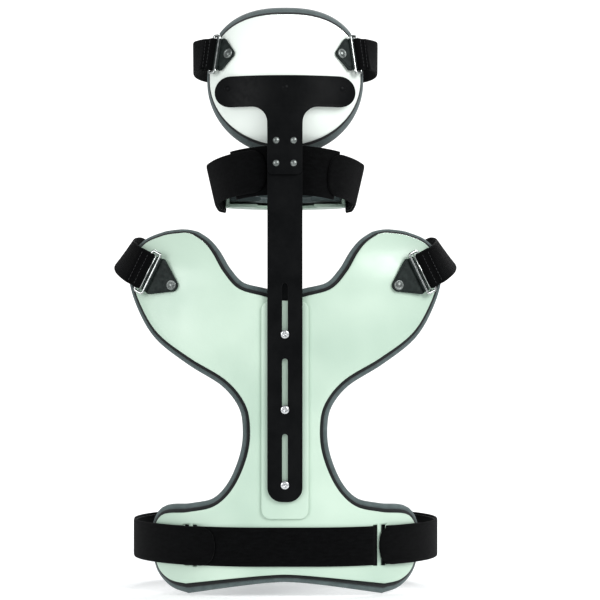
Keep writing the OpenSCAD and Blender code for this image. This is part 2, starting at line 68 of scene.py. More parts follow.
# ---------- sizes shared with the part's source ----------
BACK_DEPTH, FRONT_DEPTH = 118, 98
SECTION_B, FRONT_B = 110, 105
WAIST_HALF, SHOULDER_HALF, FLAT_HALF = 150, 200, 24
SHELL_T, FOAM_T, FOAM_LIP, HEAD_LIP, LINER_GAP = 3.5, 8, 8, 9, 1.4
BAR_W, BAR_T, SLOT_W, SLOT_L, SLOT_PITCH = 34, 3.4, 5.6, 53, 73
STRIP_T, GAP = 2.5, 0.15
BAR_Y = -BACK_DEPTH - STRIP_T - GAP
FRONT_BAR_Y = FRONT_DEPTH + STRIP_T + GAP
SCREW_DROP = SLOT_L / 2 - SLOT_W / 2 - 0.6
REAR_SLOTS = [83.5 + k * SLOT_PITCH for k in range(3)]
FRONT_SLOTS = [62 + k * SLOT_PITCH for k in range(2)]
STEM_Y = BAR_Y - BAR_T - GAP
HEAD_R, HEAD_HALF, HEAD_H, HEAD_Z = 100, 74, 128, 455
HEAD_Y = STEM_Y + HEAD_R
CROSSBAR_Z, CROSSBAR_HALF = 442, 67
CHIN_Z, CHIN_Y, CHIN_R = 334, 10, 62
STRAP_W, STRAP_T, NECK_W, BROW_W = 38, 2.4, 48, 33
RING_ROD, RING_GAP, ROD_UP = 1.5, 6.5, 3.8
SHOULDER_GAP, SHOULDER_BAR, BAR_ROD = 9.3, 4.4, 0.85
CAP_RISE = 1.1
SHOULDER_REACH, HEAD_REACH, TAB_APEX = 23.2, 12.5, 6.6
REAR_BAR_LOW, REAR_BAR_TOP, FRONT_BAR_LOW, FRONT_BAR_IN = 44, 402, 26, 44
BRACKET_T, BRACKET_LOW = 3.1, 367
BELT_SLOTS, BELT_SLOT_W = (86, 94), 4
CHEST_LIP, CHIN_BACK = 6, -14

# ---------- finer sizes ----------
SHELL_RIM, FOAM_RIM, CHIN_FOAM_RIM = 1.2, 3.4, 2.4
WEB_T, LOOP_R, SHOULDER_FOLD, HEAD_FOLD = 2.2, 2.85, 12, 10
THREAD_R, STITCH = 0.3, 3.4
RIB, PICK = 1.5, 1.1

BACK_INNER = [(0, -27), (0, -24), (0, -16), (0, 2), (0, 22), (0, 33), (0, 45), (0, 62), (0, 88), (0, 113),
    (0, 137), (0, 158), (0, 180), (0, 205), (0, 227), (14, 241), (44, 250), (60, 267), (71, 286), (80, 297),
    (91, 304.5)]
BACK_OUTER = [(98, -38), (115, -35), (127, -23), (132, 4), (123, 27), (96, 32), (69, 39), (50, 58), (37, 88),
    (34, 115), (39, 139), (58, 162), (93, 183), (125, 207), (143, 236), (151, 262), (149, 282), (138, 296),
    (122, 303), (113, 305), (103, 306)]
CHEST_INNER = [(0, -26), (0, -22), (0, -13), (0, 0), (0, 16), (0, 30), (0, 46), (0, 70), (0, 98), (0, 122),
    (0, 142), (0, 160), (12, 172), (28, 182), (37, 194), (42, 205), (51, 214.5)]
CHEST_OUTER = [(50, -32), (66, -30), (77, -17), (80, 2), (73, 24), (54, 32), (38, 44), (30, 70), (29, 100),
    (36, 128), (54, 151), (76, 170), (87, 190), (86, 203), (79, 213), (69, 218), (59, 218)]
SHOULDER_ROUTE = [(155, -83, 279), (159, -66, 283), (160, -44, 287), (157, -14, 289),
    (149, 16, 284), (137, 44, 272), (121, 69, 251), (103, 88, 225), (86, 96.6, 203), (68, 99.4, 181)]
SHOULDER_ACROSS = [(0.45, 0.08, -0.89), (0.5, 0, -0.86), (0.6, 0, -0.8), (0.7, 0, -0.7)]
SHOULDER_ACROSS += [(0.78, 0, -0.6)] * 4 + [(0.77, 0, -0.63)] * 2
BROW_ROUTE = [(89.5, -67, 480), (91, -42, 480), (89.5, -12, 480), (84, 18, 480), (72, 45, 480),
    (52, 66, 480), (27, 77, 480), (0, 80, 480)]
NECK_FRONT = [(72.5, -30, 351), (69, -10, 350), (63.8, 10, 350), (62.2, 24, 350)]
NECK_FRONT_ACROSS = [(0.24, 0, 1), (0.12, 0, 1), (0, 0, 1), (0, 0, 1)]
UP = Vector((0, 0, 1))


def ease(t):
    c = min(1, max(0, t))
    return c * c * (3 - 2 * c)


def spline_at(p, s):
    """The Catmull-Rom curve through p, with s counting its points."""
    n = len(p) - 1
    i = max(0, min(n - 1, math.floor(s)))
    t = s - i
    a, b, c, d = (Vector(p[k]) for k in (max(0, i - 1), i, i + 1, min(n, i + 2)))
    return b + 0.5 * t * ((c - a) + t * ((2 * a - 5 * b + 4 * c - d) + t * (3 * (b - c) + d - a)))


def half_width(z):
    return WAIST_HALF + (SHOULDER_HALF - WAIST_HALF) * ease(z / 220)


def bend(x, z):
    e = min(0.985, max(0, abs(x) - FLAT_HALF) / (half_width(z) - FLAT_HALF))
    return 1 - math.sqrt(1 - e * e)


def back_face(x, z):
    return -BACK_DEPTH + SECTION_B * bend(x, z) + 0.006 * max(0, z - 250) ** 2


def chest_face(x, z):
    return FRONT_DEPTH - FRONT_B * bend(x, z)


def head_face(x, z, r=HEAD_R):
    return HEAD_Y - math.sqrt(r * r - x * x - (z - HEAD_Z) ** 2)


def normal(f, x, z, s):
    return s * Vector((f(x - 0.5, z) - f(x + 0.5, z), 1, f(x, z - 0.5) - f(x, z + 0.5))).normalized()


def on_face(f, x, z, s, depth):
    return Vector((x, f(x, z), z)) + depth * normal(f, x, z, s)


def stand(f, s, at, lean):
    """The matrix of a fitting on a surface: +X along the lean, +Z outwards."""
    n = normal(f, at[0], at[1], s)
    level = UP.cross(n)
    u = (level * math.cos(lean) + n.cross(level).normalized() * math.sin(lean)).normalized()
    w = n.cross(u)
    m = Matrix((u, w, n)).transposed().to_4x4()
    m.translation = Vector((at[0], f(*at), at[1]))
    return m


SHOULDER_STAND = stand(back_face, -1, (110, 254), math.radians(27))
TEMPLE_STAND = stand(head_face, -1, (54, 479), 0)


# ---------- materials ----------
def node(nodes, kind, **inputs):
    n = nodes.new(kind)
    for key, value in inputs.items():
        if key in n.inputs:
            n.inputs[key].default_value = value
        else:
            setattr(n, key, value)
    return n


class Finish:
    """A principled material whose colour varies between two shades and whose relief is a sum of patterns."""

    def __init__(self, name, rough, **sockets):
        self.mat = bpy.data.materials.new(name)
        self.mat.use_nodes = True
        self.nodes, self.links = self.mat.node_tree.nodes, self.mat.node_tree.links
        self.shader = self.nodes["Principled BSDF"]
        self.shader.inputs["Roughness"].default_value = rough
        for key, value in sockets.items():
            self.shader.inputs[key.replace("_", " ")].default_value = value
        self.place = self.nodes.new("ShaderNodeTexCoord").outputs["Object"]
        self.height = None

    def noise(self, scale, detail=3.0, stretch=None, place=None):
        """Noise whose blotches are about 1/scale of a metre across."""
        place = place or self.place
        if stretch:
            mapping = self.nodes.new("ShaderNodeMapping")
            mapping.inputs["Scale"].default_value = stretch
            self.links.new(place, mapping.inputs["Vector"])
            place = mapping.outputs["Vector"]
        n = node(self.nodes, "ShaderNodeTexNoise", Scale=scale, Detail=detail, Roughness=0.55)
        self.links.new(place, n.inputs["Vector"])
        return n.outputs["Fac"]

    def cells(self, scale):
        n = node(self.nodes, "ShaderNodeTexVoronoi", Scale=scale)
        self.links.new(self.place, n.inputs["Vector"])
        return n.outputs["Distance"]

    def math(self, operation, a, b=0.0):
        n = node(self.nodes, "ShaderNodeMath", operation=operation)
        for socket, value in zip(n.inputs, (a, b)):
            if isinstance(value, (int, float)):
                socket.default_value = value
            else:
                self.links.new(value, socket)
        return n.outputs[0]

    def spread(self, value, low, high, start=0.35, stop=0.65):
        n = self.nodes.new("ShaderNodeMapRange")
        for key, number in zip(("From Min", "From Max", "To Min", "To Max"), (start, stop, low, high)):
            n.inputs[key].default_value = number
        self.links.new(value, n.inputs["Value"])
        return n.outputs["Result"]

    def colour(self, factor, shades, stops=(0.35, 0.65)):
        ramp = self.nodes.new("ShaderNodeValToRGB")
        for element, stop, shade in zip(ramp.color_ramp.elements, stops, shades):
            element.position = stop
            element.color = (*shade, 1)
        self.links.new(factor, ramp.inputs["Fac"])
        self.links.new(ramp.outputs["Color"], self.shader.inputs["Base Color"])

    def roughness(self, factor, low, high):
        self.links.new(self.spread(factor, low, high), self.shader.inputs["Roughness"])

    def relief(self, factor, distance, strength=1.0):
        """Adds relief: the factor times a distance in millimetres."""
        bump = node(self.nodes, "ShaderNodeBump", Strength=strength, Distance=distance * MM)
        self.links.new(factor, bump.inputs["Height"])
        if self.height:
            self.links.new(self.height, bump.inputs["Normal"])
        self.height = bump.outputs["Normal"]
        self.links.new(self.height, self.shader.inputs["Normal"])

    def along(self):
        """The straightened coordinates of webbing: along, across and through, in metres."""
        n = node(self.nodes, "ShaderNodeAttribute", attribute_name="flat")
        split = self.nodes.new("ShaderNodeSeparateXYZ")
        self.links.new(n.outputs["Vector"], split.inputs["Vector"])
        return n.outputs["Vector"], split.outputs["X"], split.outputs["Y"]


def shell_plastic(name, light, dark):
    f = Finish(name, 0.34, Coat_Weight=0.25, Coat_Roughness=0.2, Specular_IOR_Level=0.45)
    cloud = f.noise(9, 2)
    f.colour(cloud, (dark, light))
    f.roughness(f.noise(70, 4), 0.28, 0.42)
    f.relief(f.noise(14, 1), 0.9, 0.6)
    f.relief(f.noise(420, 3), 0.05)
    return f.mat


def foam(name, light, dark):
    f = Finish(name, 0.85, Sheen_Weight=0.25, Sheen_Roughness=0.5)
    f.colour(f.noise(120, 6), (dark, light))
    f.relief(f.noise(90, 3), 0.35)
    f.relief(f.cells(900), 0.22)
    f.relief(f.noise(2200, 2), 0.12)
    return f.mat


def webbing(name, light, dark):
    """Woven tape: ribs along it, crossed by picks that step from rib to rib."""
    f = Finish(name, 0.8, Sheen_Weight=0.04, Sheen_Roughness=0.45, Specular_IOR_Level=0.08)
    place, s, w = f.along()
    rib_wave = f.math("ABSOLUTE", f.math("SINE", f.math("MULTIPLY", w, math.pi / (RIB * MM))))
    step = f.math("MULTIPLY", f.math("FLOOR", f.math("DIVIDE", w, RIB * MM)), math.pi)
    turns = f.math("MULTIPLY", s, 2 * math.pi / (PICK * MM))
    pick_wave = f.math("MULTIPLY", f.math("ADD", f.math("SINE", f.math("ADD", turns, step)), 1.0), 0.5)
    weave = f.math("MULTIPLY", rib_wave, pick_wave)
    fuzz = f.noise(900, 3, place=place)
    f.colour(f.math("MULTIPLY", f.math("ADD", weave, fuzz), 0.5), (dark, light), (0.2, 0.75))
    f.relief(weave, 0.3)
    f.relief(fuzz, 0.18)
    return f.mat


def pile(name, light, dark):
    """Brushed loop, as on the waist and neck bands."""
    f = Finish(name, 0.92, Sheen_Weight=0.05, Sheen_Roughness=0.6, Specular_IOR_Level=0.05)
    place = f.along()[0]
    loops = f.noise(1500, 4, place=place)
    brushed = f.noise(260, 3, stretch=(0.5, 1.6, 1.0), place=place)
    f.colour(f.math("MULTIPLY", f.math("ADD", loops, brushed), 0.5), (dark, light), (0.38, 0.62))
    f.relief(brushed, 0.35)
    f.relief(loops, 0.4)
    return f.mat


def coated_metal(name):
    f = Finish(name, 0.42, Specular_IOR_Level=0.12)
    f.colour(f.noise(40, 5), ((0.003, 0.0035, 0.004), (0.007, 0.0075, 0.008)))
    f.roughness(f.noise(260, 5), 0.36, 0.5)
    f.relief(f.noise(1300, 2), 0.05)
    return f.mat


def bare_metal(name, rough, low, high):
    f = Finish(name, rough, Metallic=1.0)
    f.colour(f.noise(300, 4), (low, high))
    f.roughness(f.noise(700, 4), rough * 0.7, rough * 1.4)
    f.relief(f.noise(2500, 2), 0.012)
    return f.mat


def moulding(name, light, dark):
    f = Finish(name, 0.5, Specular_IOR_Level=0.2)
    f.colour(f.noise(180, 4), (dark, light))
    f.roughness(f.noise(400, 3), 0.42, 0.6)
    f.relief(f.cells(1400), 0.1)
    f.relief(f.noise(60, 2), 0.15)
    return f.mat


def thread(name, light, dark):
    f = Finish(name, 0.6, Sheen_Weight=0.2)
    f.colour(f.noise(2600, 2), (dark, light))
    f.relief(f.noise(3500, 2), 0.1)
    return f.mat


SHELL = shell_plastic("mint_shell", (0.55, 0.68, 0.575), (0.45, 0.58, 0.485))
HEAD_SHELL = shell_plastic("white_shell", (0.9, 0.95, 0.9), (0.84, 0.91, 0.85))
FOAM = foam("slate_foam", (0.108, 0.140, 0.140), (0.080, 0.106, 0.106))
# Near-black foam for the layer between shell and liner: it is the liner's black edge and also paints the
# shadow under the shell's rim.
EDGE_AND_PAINTED_SHADOW = foam("black_edge_and_painted_shadow_foam", (0.012, 0.014, 0.015), (0.007, 0.008, 0.009))
WEB = webbing("black_webbing", (0.0055, 0.006, 0.0065), (0.001, 0.001, 0.0012))
PILE = pile("black_loop_pile", (0.0042, 0.0045, 0.005), (0.001, 0.001, 0.0012))
BLACK = coated_metal("black_coated_metal")
STEEL = bare_metal("bright_steel", 0.24, (0.55, 0.56, 0.57), (0.78, 0.79, 0.8))
WIRE = bare_metal("ring_wire", 0.2, (0.34, 0.36, 0.35), (0.55, 0.57, 0.56))
RIVET = bare_metal("dull_steel", 0.4, (0.15, 0.165, 0.16), (0.28, 0.3, 0.29))
TAB = moulding("black_tab", (0.022, 0.03, 0.028), (0.012, 0.017, 0.016))
THREAD = thread("charcoal_thread", (0.024, 0.025, 0.027), (0.01, 0.0105, 0.012))


# ---------- meshes ----------
def link(name, data):
    obj = bpy.data.objects.new(name, data)
    bpy.context.collection.objects.link(obj)
    return obj


def mesh_piece(name, verts, faces, material, side=1, flat=None):
    """A piece from points in millimetres; side -1 mirrors it to the wearer's other side."""
    mesh = bpy.data.meshes.new(name)
    mesh.from_pydata([(side * v[0] * MM, v[1] * MM, v[2] * MM) for v in verts], [], faces)
    if flat:
        attribute = mesh.attributes.new("flat", "FLOAT_VECTOR", "POINT")
        attribute.data.foreach_set("vector", [c * MM for v in flat for c in v])
    bm = bmesh.new()
    bm.from_mesh(mesh)
    bmesh.ops.remove_doubles(bm, verts=bm.verts, dist=1e-6)
    bmesh.ops.recalc_face_normals(bm, faces=bm.faces)
    for face in bm.faces:
        face.smooth = True
    bm.to_mesh(mesh)
    bm.free()
    mesh.materials.append(material)
    return link(name, mesh)


def bridge(loops):
    """Faces between closed loops of equal length, given as vertex numbers."""
    faces = []
    for a, b in zip(loops, loops[1:]):
        n = len(a)
        faces += [(a[k], a[(k + 1) % n], b[(k + 1) % n], b[k]) for k in range(n)]
    return faces


def stack(rows, n, base=0):
    """The vertex numbers of rows of n points that follow one another."""
    return [range(base + i * n, base + (i + 1) * n) for i in range(rows)]


def skin(rows, n, base=0):
    """Faces round a stack of closed rows of n points, with its two ends capped."""
    loops = stack(rows, n, base)
    return bridge(loops) + [tuple(loops[0]), tuple(loops[-1])]


def around(n):
    return [2 * math.pi * k / n for k in range(n)]


def evaluated(obj):
    bpy.context.view_layer.update()
    return bpy.data.meshes.new_from_object(obj.evaluated_get(bpy.context.evaluated_depsgraph_get()))


def settle(obj):
    """Applies the modifiers of a piece."""
    done = evaluated(obj)
    obj.modifiers.clear()
    obj.data = done
    return obj


def join(name, parts):
    """One piece from several of the same material."""
    bm = bmesh.new()
    for part in parts:
        bm.from_mesh(part.data)
    joined = parts[0]
    bm.to_mesh(joined.data)
    bm.free()
    for part in parts[1:]:
        bpy.data.objects.remove(part)
    joined.name = name
    return joined


def finish_piece(obj, body, slot, *replaced):
    if replaced:
        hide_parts(*replaced)
    if body:
        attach(obj, body)
    return obj


def half_row(inner, outer, s, cols, lip):
    """Points of one row of a shell's right-hand half; lip grows the outline."""
    def out(p, turn):
        t = (spline_at(p, min(len(p) - 1, s + 0.05)) - spline_at(p, max(0, s - 0.05))).normalized()
        return turn * Vector((t[1], -t[0]))

    a, b = spline_at(inner, s), spline_at(outer, s)
    na, nb = out(inner, -1), out(outer, 1)
    last = len(inner) - 1
    free = max(0, min(1, a[0] / 10))
    low, rise = lip * (1 - min(1, s / 1.5)), CAP_RISE * max(0, s - last + 1) ** 2
    p = Vector((a[0] + lip * free * na[0], a[1] + lip * free * na[1] - low))
    q = b + lip * nb - Vector((0, low * 0.3))
    shares = [j / cols for j in range(cols + 1)]
    return [Vector((p[0] + (q[0] - p[0]) * u, p[1] + (q[1] - p[1]) * u ** 1.5 + rise * math.sin(math.pi * u)))
        for u in shares]


def shell(name, f, s, inner, outer, profile, material, cols=22, per=6):
    """A moulded sheet that follows the surface f. The profile runs over its rim as (lip, depth) pairs."""
    rows = per * (len(inner) - 1)
    fork = per * (len([p for p in inner if p[0] == 0]) - 1)

    def key(side, i, j):
        return (1, i, 0) if j == 0 and i <= fork else (side, i, j)

    def places(lip, depth, keys):
        lines = [half_row(inner, outer, i / per, cols, lip) for i in range(rows + 1)]
        found = {}
        for side, i, j in keys:
            x, z = lines[i][j]
            x = x if j > 0 else (0 if i <= fork else max(0.4, x))
            found[side, i, j] = on_face(f, side * x, z, s, depth)
        return found

    rim = [(1, i, cols) for i in range(rows + 1)] + [(1, rows, j) for j in range(cols - 1, -1, -1)]
    rim += [(1, i, 0) for i in range(rows - 1, fork, -1)] + [(1, fork, 0)]
    rim += [(-1, i, 0) for i in range(fork + 1, rows + 1)] + [(-1, rows, j) for j in range(1, cols + 1)]
    rim += [(-1, i, cols) for i in range(rows - 1, -1, -1)] + [(-1, 0, j) for j in range(cols - 1, 0, -1)]
    rim += [(1, 0, j) for j in range(0, cols)]
    everything = sorted(
        {key(side, i, j) for side in (1, -1) for i in range(rows + 1) for j in range(cols + 1)})
    verts, faces, rings = [], [], []
    for layer, (lip, depth) in enumerate(profile):
        ends = layer in (0, len(profile) - 1)
        keys = everything if ends else rim
        found = places(lip, depth, keys)
        index = {k: len(verts) + n for n, k in enumerate(keys)}
        verts += [found[k] for k in keys]
        rings.append([index[k] for k in rim])
        if ends:
            for side in (1, -1):
                for i in range(rows):
                    for j in range(cols):
                        corners = ((i, j), (i, j + 1), (i + 1, j + 1), (i + 1, j))
                        faces.append([index[key(side, a, b)] for a, b in corners])
    return mesh_piece(name, verts, faces + bridge(rings), material)


def rounded_rim(lip, top, bottom, r, steps=4):
    """Rim profile from a top depth to a bottom depth with corner radius r."""
    turn = [k * math.pi / 2 / steps for k in range(steps + 1)]
    upper = [(lip - r + r * math.sin(a), top - r + r * math.cos(a)) for a in turn]
    lower = [(lip - r + r * math.cos(a), bottom + r - r * math.sin(a)) for a in turn]
    return upper + lower


class Track:
    """A line in space with a width direction, resampled evenly, that webbing follows."""

    def __init__(self, points, across, step=2.0):
        per = 12
        turns = [k / per for k in range(per * (len(points) - 1) + 1)]
        fine = [(spline_at(points, t), spline_at(across, t)) for t in turns]
        length = [0.0]
        for (a, _), (b, _) in zip(fine, fine[1:]):
            length.append(length[-1] + (b - a).length)
        self.length = length[-1]
        count = max(2, round(self.length / step))
        self.s, self.p, wide = [], [], []
        k = 0
        for i in range(count + 1):
            s = self.length * i / count
            while k < len(fine) - 2 and length[k + 1] < s:
                k += 1
            t = (s - length[k]) / max(1e-9, length[k + 1] - length[k])
            self.s.append(s)
            self.p.append(fine[k][0].lerp(fine[k + 1][0], t))
            wide.append(fine[k][1].lerp(fine[k + 1][1], t))
        self.w, self.n = [], []
        for i in range(count + 1):
            t = (self.p[min(count, i + 1)] - self.p[max(0, i - 1)]).normalized()
            w = (wide[i] - wide[i].dot(t) * t).normalized()
            self.w.append(w)
            self.n.append(w.cross(t))

    def at(self, s, w, n):
        """The point at s along the track, w across it and n above it, and the outward direction there."""
        i = max(0, min(len(self.s) - 2, int(s / self.length * (len(self.s) - 1))))
        f = (s - self.s[i]) / (self.s[i + 1] - self.s[i])
        p, a, o = (row[i].lerp(row[i + 1], f) for row in (self.p, self.w, self.n))
        return p + a * w + o * n, o.normalized()


def tape(name, track, width, thick, material, side=1, round_start=0, round_end=0, swell=0.0):
    """Flat webbing along a track, with worn round edges; round_start and round_end round its corners."""
    rim = (0.9, 0.965, 0.99, 1.0)
    us = [-u for u in reversed(rim)] + [k / 5 * 0.9 for k in range(-4, 5)] + list(rim)
    section = [(u, 1) for u in us] + [(u, -1) for u in reversed(us[1:-1])]
    verts, flat = [], []
    for i, s in enumerate(track.s):
        half = width / 2
        for r, d in ((round_start, s), (round_end, track.length - s)):
            if r and d < r:
                half = min(half, width / 2 - r + math.sqrt(max(0.0, r * r - (r - d) ** 2)))
        end = min(s, track.length - s)
        depth = thick / 2 * (0.45 + 0.55 * min(1, end / 2.0))
        for u, v in section:
            edge = math.sqrt(max(0.0, 1 - abs(u) ** 22))
            lift = v * (depth * edge + swell * (1 - u * u))
            x = u * half
            verts.append(track.p[i] + track.w[i] * x + track.n[i] * lift)
            flat.append((s, x, lift))
    return mesh_piece(name, verts, skin(len(track.s), len(section)), material, side, flat)


def stitches(name, track, runs, lift, side=1):
    """Rows of thread on a tape: each run is (s0, w0, s1, w1)."""
    verts, faces = [], []
    sides = 6
    for s0, w0, s1, w1 in runs:
        length = math.hypot(s1 - s0, w1 - w0)
        count = max(1, int(length / STITCH))
        for k in range(count):
            ends = [(k + 0.12) / count, (k + 0.88) / count]
            spots = [track.at(s0 + (s1 - s0) * e, w0 + (w1 - w0) * e, lift) for e in ends]
            (p, out), (q, _) = spots
            along = (q - p).normalized()
            across = along.cross(out).normalized()
            base = len(verts)
            bumps = ((0, 0.3, -0.35), (0.18, 1, 0), (0.5, 1, 0.12), (0.82, 1, 0), (1, 0.3, -0.35))
            for share, grow, rise in bumps:
                place, r = p.lerp(q, share), THREAD_R * grow
                for a in around(sides):
                    up = r * math.sin(a) + rise * THREAD_R * 2
                    verts.append(place + across * r * math.cos(a) + out * up)
            faces += skin(len(bumps), sides, base)
    return mesh_piece(name, verts, faces, THREAD, side)


def box_runs(s0, s1, half):
    """A sewn box with its two diagonals."""
    return [(s0, -half, s1, -half), (s0, half, s1, half), (s0, -half, s0, half), (s1, -half, s1, half),
        (s0, -half, s1, half), (s0, half, s1, -half)]


def sheet_plate(name, outline, holes, thick, edge, matrix, material, side=1, cuts=(), folds=(), warp=None):
    """A flat plate with rounded edges. cuts and folds are the local x and y where a warp may bend it."""
    data = bpy.data.curves.new(name, "CURVE")
    data.dimensions = "2D"
    data.fill_mode = "BOTH"
    data.bevel_depth = edge * MM
    data.bevel_resolution = 2
    data.offset = -edge * MM
    data.extrude = (thick / 2 - edge) * MM
    for loop in (outline, *holes):
        line = data.splines.new("POLY")
        line.points.add(len(loop) - 1)
        for point, place in zip(line.points, loop):
            point.co = (place[0] * MM, place[1] * MM, 0, 1)
        line.use_cyclic_u = True
    temp = link(name, data)
    mesh = evaluated(temp)
    bpy.data.objects.remove(temp)
    bm = bmesh.new()
    bm.from_mesh(mesh)
    bmesh.ops.remove_doubles(bm, verts=bm.verts, dist=2e-6)
    planes = [((x * MM, 0, 0), (1, 0, 0)) for x in cuts] + [((0, y * MM, 0), (0, 1, 0)) for y in folds]
    for place, facing in planes:
        everything = list(bm.verts) + list(bm.edges) + list(bm.faces)
        bmesh.ops.bisect_plane(bm, geom=everything, plane_co=place, plane_no=facing)
    for v in bm.verts:
        p = v.co / MM
        p = warp(p) if warp else matrix @ p
        v.co = Vector((side * p[0], p[1], p[2])) * MM
    bmesh.ops.recalc_face_normals(bm, faces=bm.faces)
    for face in bm.faces:
        face.smooth = True
    bm.to_mesh(mesh)
    bm.free()
    mesh.materials.clear()
    mesh.materials.append(material)
    obj = link(name, mesh)
    obj.modifiers.new("shade", "WEIGHTED_NORMAL")
    return settle(obj)


def arc(cx, cy, r, a0, a1, steps=10):
    turn = [math.radians(a0 + (a1 - a0) * k / steps) for k in range(steps + 1)]
    return [(cx + r * math.cos(a), cy + r * math.sin(a)) for a in turn]


def round_box(x0, y0, x1, y1, r, steps=10):
    return (arc(x1 - r, y1 - r, r, 0, 90, steps) + arc(x0 + r, y1 - r, r, 90, 180, steps)
        + arc(x0 + r, y0 + r, r, 180, 270, steps) + arc(x1 - r, y0 + r, r, 270, 360, steps))


def slot_hole(z):
    r = SLOT_W / 2
    return round_box(-r, z - SLOT_L / 2, r, z + SLOT_L / 2, r - 0.01, 8)


def turned(name, profile, matrix, material, side=1, sides=40):
    """A turned piece from (radius, height) pairs about its matrix's Z."""
    verts = [matrix @ Vector((r * math.cos(a), r * math.sin(a), h))
        for r, h in profile for a in around(sides)]
    return mesh_piece(name, verts, skin(len(profile), sides), material, side)


def face_matrix(place, turn=1):
    """A matrix at place whose +Z points to -Y (turn 1, the rear) or to +Y (turn -1)."""
    return Matrix.Translation(place) @ Matrix.Rotation(math.radians(90 * turn), 4, "X")


# ---------- rear and front shells ----------
def belt_cutter():
    """The belt slots as one cutting mesh."""
    bm = bmesh.new()
    for side in (-1, 1):
        for x in BELT_SLOTS:
            m = Matrix.Translation(Vector((side * (x + BELT_SLOT_W / 2), -BACK_DEPTH + 15, 0)) * MM)
            size = Matrix.Diagonal((BELT_SLOT_W * MM, 60 * MM, (STRAP_W + 2) * MM, 1))
            bmesh.ops.create_cube(bm, size=1, matrix=m @ size)
    mesh = bpy.data.meshes.new("belt_cutter")
    bm.to_mesh(mesh)
    bm.free()
    return link("belt_cutter", mesh)


def shells():
    plate_rim = rounded_rim(0, 0, -SHELL_T, SHELL_RIM)
    back = shell("back_plate_shell", back_face, -1, BACK_INNER, BACK_OUTER, plate_rim, SHELL)
    cutter = belt_cutter()
    cut = back.modifiers.new("slots", "BOOLEAN")
    cut.object = cutter
    cut.operation = "DIFFERENCE"
    cut.solver = "EXACT"
    settle(back)
    bpy.data.objects.remove(cutter)
    finish_piece(back, TORSO, "shell_plastic", "back_plate")
    chest = shell("chest_plate_shell", chest_face, 1, CHEST_INNER, CHEST_OUTER, plate_rim, SHELL, cols=18)
    finish_piece(chest, TORSO, "shell_plastic", "chest_plate")
    foam_top, foam_bottom = -SHELL_T - LINER_GAP, -SHELL_T - LINER_GAP - FOAM_T
    for label, f, s, inner, outer, lip, old in (
            ("back", back_face, -1, BACK_INNER, BACK_OUTER, FOAM_LIP, "back_liner"),
            ("chest", chest_face, 1, CHEST_INNER, CHEST_OUTER, CHEST_LIP, "chest_liner")):
        rim = rounded_rim(lip, foam_top, foam_bottom, FOAM_RIM)
        pad = shell(f"{label}_liner_foam", f, s, inner, outer, rim, FOAM)
        finish_piece(pad, TORSO, "liner_foam", old)
        # A near-black layer between shell and liner stands 3.4 mm out past the shell's edge: it is the
        # liner's black edge and also a painted shadow under the shell's rim.
        edge_and_shadow_rim = rounded_rim(3.4, -SHELL_T + 0.3, foam_top + 0.2, 0.7, 2)
        layer = shell(f"{label}_edge_and_painted_shadow_foam", f, s, inner, outer, edge_and_shadow_rim, EDGE_AND_PAINTED_SHADOW)
        finish_piece(layer, TORSO, "liner_foam")


def strips():
    """The raised strips under the two bars."""
    for part, half, bottom, top, y in (("spine_strip", 23, 27, 239, -BACK_DEPTH - STRIP_T / 2),
            ("chest_strip", 21, -1, 155, FRONT_DEPTH + STRIP_T / 2)):
        outline = round_box(-half, bottom, half, top, 9)
        strip = sheet_plate(f"{part}_plate", outline, [], STRIP_T, 0.9, face_matrix((0, y, 0)), SHELL)
        finish_piece(strip, TORSO, "shell_plastic", part)


def height_screw(name, place, turn):
    """A pan head with a hexagon socket."""
    m = face_matrix(place, turn)
    sides = 48
    rings = [(4.4, 0.0, 0), (4.4, 0.5, 0), (4.25, 1.05, 0), (3.7, 1.65, 0), (3.0, 1.98, 0), (2.55, 2.05, 0),
        (1.62, 2.05, 1), (1.5, 1.9, 1), (1.5, 0.7, 1)]
    verts = []
    for r, h, hexed in rings:
        for a in around(sides):
            grow = 1 / math.cos((a + math.pi / 6) % (math.pi / 3) - math.pi / 6) if hexed else 1
            verts.append(m @ Vector((r * grow * math.cos(a), r * grow * math.sin(a), h)))
    return mesh_piece(name, verts, skin(len(rings), sides), STEEL)


def shank(name, place, turn, length):
    r = 2.4
    profile = [(r, 0.05), (r, -length + 0.4), (r - 0.4, -length)]
    return turned(name, profile, face_matrix(place, turn), STEEL, sides=24)


def screws():
    through = BAR_T + 2 * GAP + STRIP_T + SHELL_T + 1
    for name, old, slots, y, turn in (("rear_height_screws", "rear_screws", REAR_SLOTS, STEM_Y, 1),
            ("front_height_screws", "front_screws", FRONT_SLOTS, FRONT_BAR_Y + BAR_T + GAP, -1)):
        parts = []
        for z in slots:
            place = Vector((0, y, z - SCREW_DROP))
            parts += [height_screw(name, place, turn), shank(name, place, turn, through)]
        finish_piece(join(name, parts), TORSO, "bright_steel", old)


